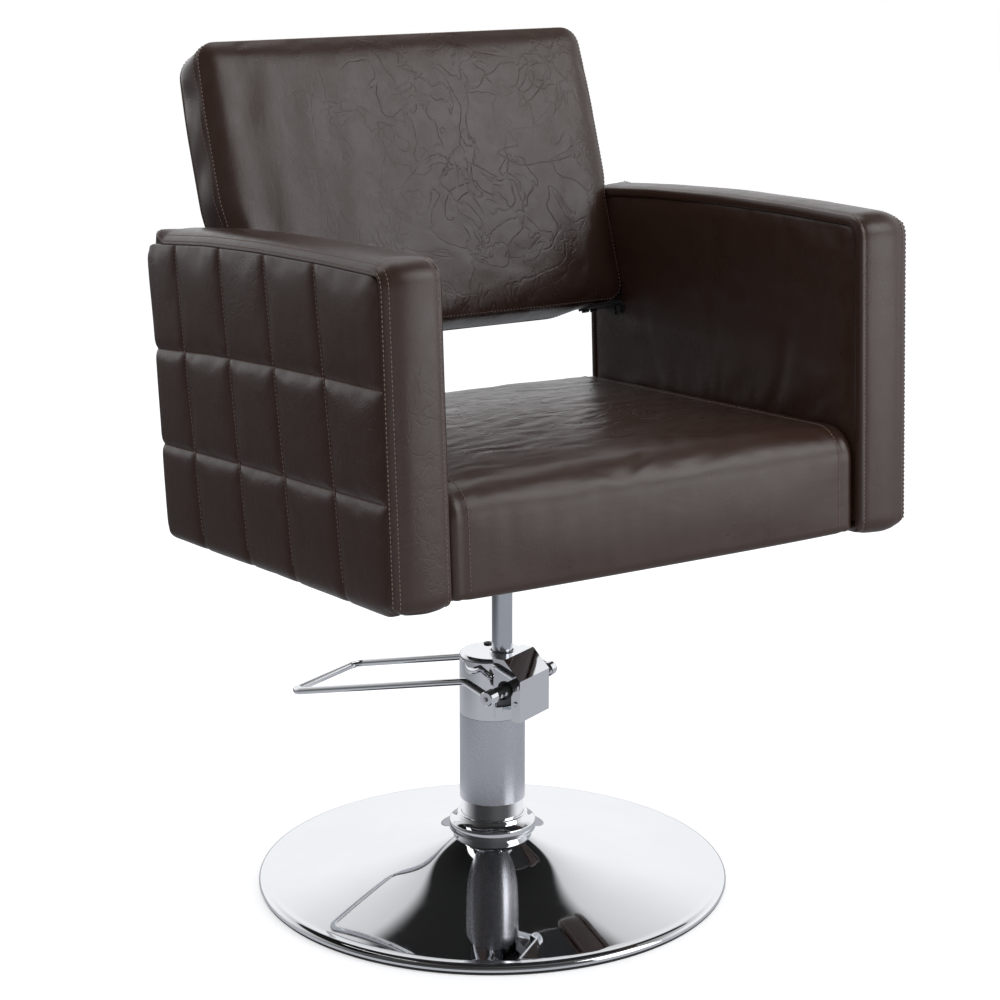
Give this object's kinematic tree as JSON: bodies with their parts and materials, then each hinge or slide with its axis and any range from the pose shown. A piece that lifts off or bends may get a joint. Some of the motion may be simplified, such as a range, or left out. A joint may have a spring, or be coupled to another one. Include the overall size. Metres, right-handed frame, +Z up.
{
  "type": "hydraulic barber chair",
  "caption": "Salon styling chair with quilted box arms, a reclined backrest and a foot-pumped hydraulic column on a round chromed base.",
  "frame": {"origin": "on the floor, on the axis of the round base", "axes": "+Z up, -Y the way the sitter faces, +X towards the sitter's left arm"},
  "size_m": [0.649, 0.6087, 0.9655],
  "materials": {
    "mirror_chrome": "mirror polished chrome plate",
    "satin_chrome": "satin ground steel sleeve",
    "ram_steel": "ground and hard-chromed rod",
    "plain_steel": "bright machined or zinc-plated steel",
    "black_steel": "black oxide or satin black paint",
    "iron": "dark machined casting",
    "bronze": "sintered bronze",
    "rubber": "matte black rubber",
    "timber": "bare plywood and softwood",
    "leatherette": "dark brown crackled leatherette over foam",
    "lining": "black non-woven dust cloth"
  },
  "bodies": {
    "base": {"base_disc": "mirror_chrome", "floor_ring": "rubber", "base_socket": "black_steel", "base_washer": "plain_steel", "base_bolt": "plain_steel", "base_collar": "mirror_chrome", "pump_casing": "mirror_chrome", "casing_foot": "plain_steel", "cover_sleeve": "satin_chrome", "inner_cylinder": "plain_steel", "head_block": "iron", "head_cap": "mirror_chrome", "filler_screw": "black_steel", "cap_set_screw": "mirror_chrome", "ram_gland": "mirror_chrome", "wiper_seal": "rubber", "pump_cover": "mirror_chrome", "cover_screws": "mirror_chrome", "cover_nuts": "plain_steel", "shaft_bushes": "bronze", "plunger_spring": "plain_steel"},
    "pedal": {"cross_shaft": "black_steel", "shaft_screws": "mirror_chrome", "pedal_cam": "black_steel", "pedal_loop": "mirror_chrome", "pedal_boss_left": "mirror_chrome", "pedal_boss_right": "mirror_chrome"},
    "plunger_body": {"plunger": "plain_steel"},
    "piston": {"ram_piston": "plain_steel", "piston_seal": "rubber"},
    "seat": {"ram": "ram_steel", "ram_clip": "plain_steel", "seat_hub": "black_steel", "mount_plate": "black_steel", "plate_bolts": "plain_steel", "seat_frame": "timber", "seat_board": "timber", "seat_cushion": "leatherette", "seat_lining": "lining", "arm_frame_left": "timber", "arm_frame_right": "timber", "arm_band_left": "leatherette", "arm_band_right": "leatherette", "arm_inner_panel_left": "leatherette", "arm_inner_panel_right": "leatherette", "arm_outer_panel_left": "leatherette", "arm_outer_panel_right": "leatherette", "arm_bolts_left": "plain_steel", "arm_bolts_right": "plain_steel", "back_board": "timber", "back_cushion": "leatherette", "back_panel": "leatherette", "back_angle_left": "black_steel", "back_angle_right": "black_steel", "back_screws_left": "mirror_chrome", "back_screws_right": "mirror_chrome"}
  },
  "joints": [
    {"name": "ram_lift", "type": "slide", "parent": "base", "child": "piston", "axis": [0, 0, 1], "range_m": [-0.08, 0.06]},
    {"name": "seat_swivel", "type": "hinge", "parent": "piston", "child": "seat", "pos_m": [0.00558, -0.01229, 0.25], "axis": [0, 0, 1], "continuous": true},
    {"name": "pedal_press", "type": "hinge", "parent": "base", "child": "pedal", "pos_m": [0.01586, -0.03497, 0.2468], "axis": [0.9107, 0.4131, 0], "range_deg": [-18, 0], "stiffness_Nm_per_rad": 6, "springref_deg": 20.05},
    {"name": "plunger_stroke", "type": "slide", "parent": "base", "child": "plunger_body", "axis": [0, 0, 1], "range_m": [-0.0056, 0], "deforming": ["plunger_spring"]}
  ],
  "couplings": [
    {"joint": "plunger_stroke", "follows": "pedal_press", "m_per_rad": 0.0174}
  ]
}
